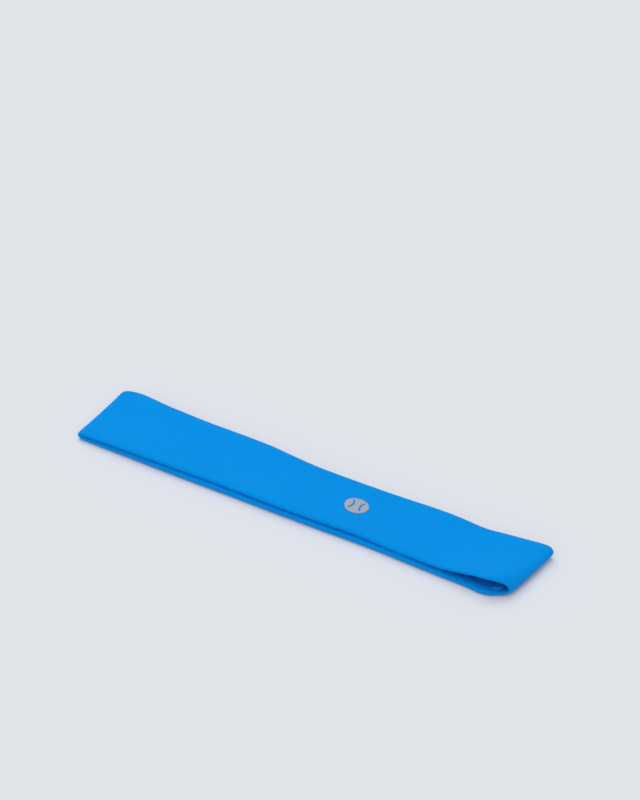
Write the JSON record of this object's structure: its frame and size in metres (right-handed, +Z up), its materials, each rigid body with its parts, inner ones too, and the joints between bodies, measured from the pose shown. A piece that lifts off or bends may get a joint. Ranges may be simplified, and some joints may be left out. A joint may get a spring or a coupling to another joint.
{
  "type": "sports headband",
  "caption": "Stretch-knit sports headband lying flat: a closed double-layer loop with a creased left end, an open right fold and a round mark on top.",
  "frame": {"origin": "centre of the bounding box at the surface the band lies on", "axes": "+X along the laid-flat length towards the open fold, +Y across the band, +Z up through both runs"},
  "size_m": [0.245, 0.041, 0.011],
  "materials": {
    "shell_knit": "bright blue fine stretch knit, matt with a soft sheen",
    "lining_knit": "blue fine knit, slightly more open than the shell",
    "seam_thread": "blue polyester overlock and lock-stitch thread",
    "label_satin": "blank off-white woven satin",
    "mark_film": "silver-grey heat-transfer film, satin"
  },
  "bodies": {
    "lower_run": {"outer_panel_lower": "shell_knit", "lining_panel_lower": "lining_knit", "front_edge_seam_lower": "seam_thread", "rear_edge_seam_lower": "seam_thread", "closing_seam_allowance": "lining_knit", "closing_seam_overlock": "seam_thread", "closing_seam_needle_row": "seam_thread", "front_bartack": "seam_thread", "rear_bartack": "seam_thread", "fibre_label": "label_satin"},
    "upper_run": {"outer_panel_upper": "shell_knit", "lining_panel_upper": "lining_knit", "front_edge_seam_upper": "seam_thread", "rear_edge_seam_upper": "seam_thread", "transfer_mark": "mark_film"}
  },
  "joints": [
    {"name": "loop_opening", "type": "slide", "parent": "lower_run", "child": "upper_run", "axis": [0, 0, 1], "range_m": [0, 0.03]}
  ]
}
